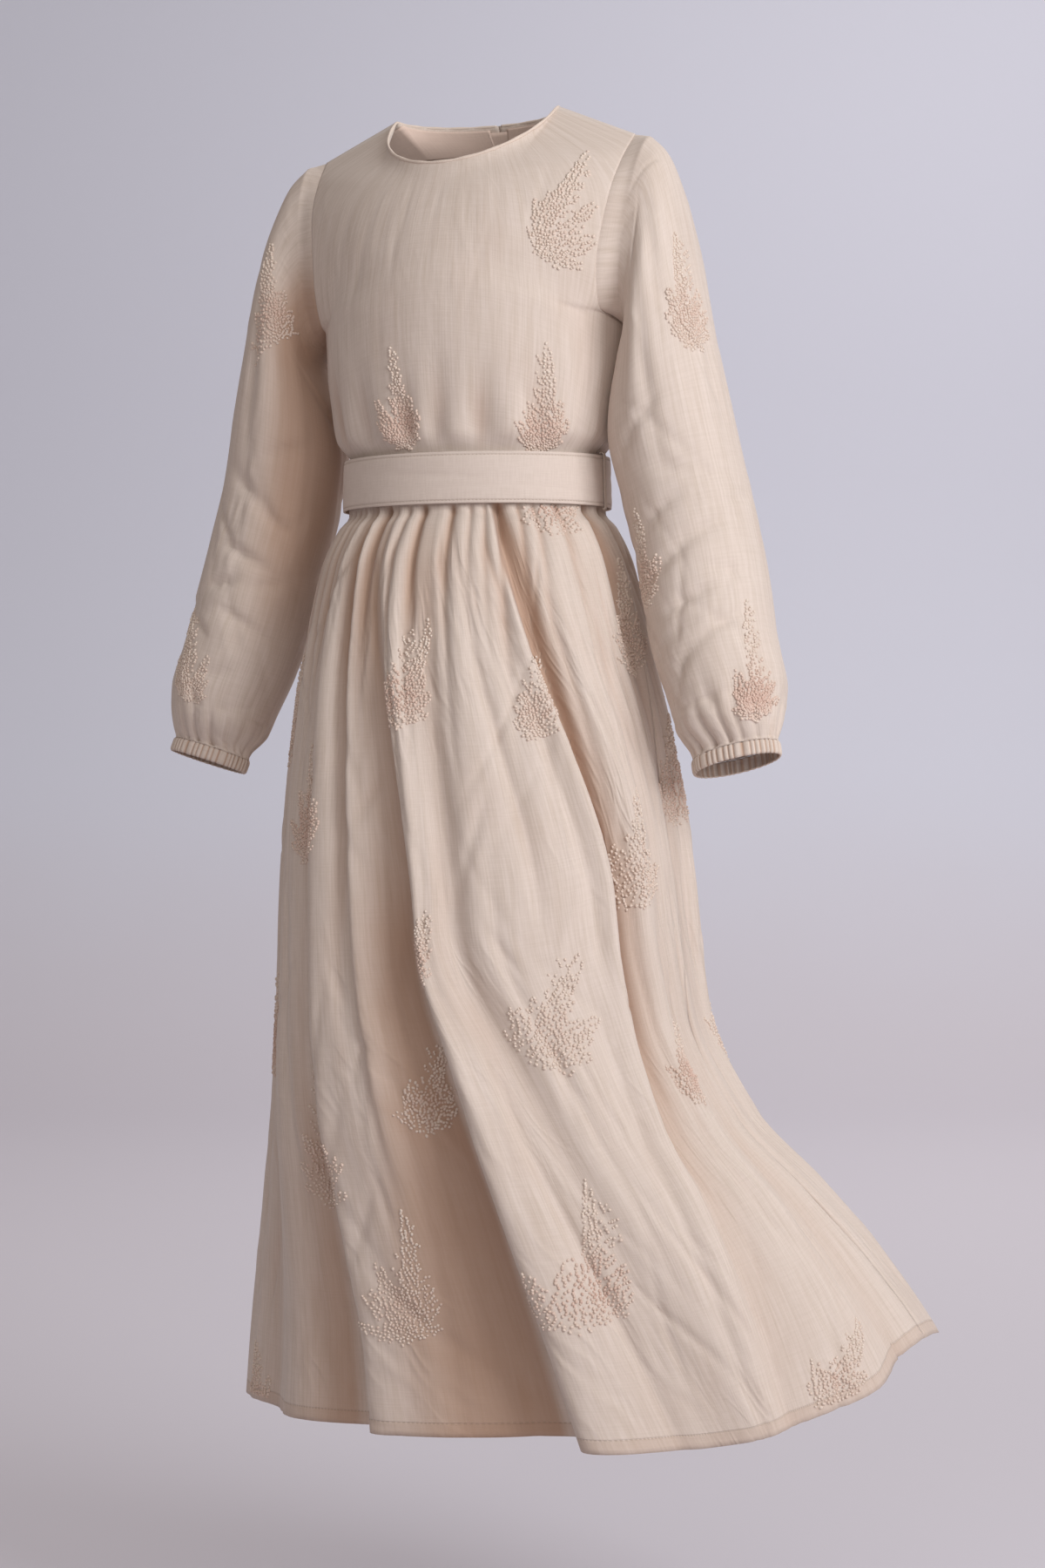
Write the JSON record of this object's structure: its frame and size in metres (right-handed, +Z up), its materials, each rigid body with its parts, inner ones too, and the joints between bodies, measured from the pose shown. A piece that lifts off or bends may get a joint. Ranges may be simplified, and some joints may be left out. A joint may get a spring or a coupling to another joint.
{
  "type": "belted dress",
  "caption": "Long-sleeved maxi dress with a round neck, plain waist belt, gathered skirt and ribbed elastic cuffs, filled out as when worn.",
  "frame": {"origin": "where the dress hangs on the wearer's shoulders: the middle between the two neck points, 10 mm below them", "axes": "+Z up along the body, +X to the wearer's left, -Y to the front"},
  "size_m": [0.7859, 0.4907, 1.352],
  "materials": {
    "gauze": "oatmeal double gauze with vertical slubs and small raised plant sprigs",
    "belt_cloth": "the dress cloth, interlined and pressed smooth, edge stitched",
    "facing_cloth": "fine plain-woven facing, a little pinker than the dress cloth",
    "zip_metal": "satin lacquered zip metal, dyed to match"
  },
  "bodies": {
    "dress": {"bodice_front": "gauze", "bodice_back_left": "gauze", "bodice_back_right": "gauze", "sleeve_left": "gauze", "sleeve_right": "gauze", "cuff_left": "gauze", "cuff_right": "gauze", "skirt_front": "gauze", "skirt_back_left": "gauze", "skirt_back_right": "gauze", "belt": "belt_cloth", "belt_loop_left": "gauze", "belt_loop_right": "gauze", "neck_facing_left": "facing_cloth", "neck_facing_right": "facing_cloth", "zip_tape": "facing_cloth", "zip_slider": "zip_metal"},
    "pull_tab": {"zip_pull": "zip_metal"}
  },
  "joints": [
    {"name": "pull_tab_swing", "type": "hinge", "parent": "dress", "child": "pull_tab", "pos_m": [0, 0.06263, -0.0071], "axis": [1, 0, 0], "range_deg": [0, 150]}
  ]
}
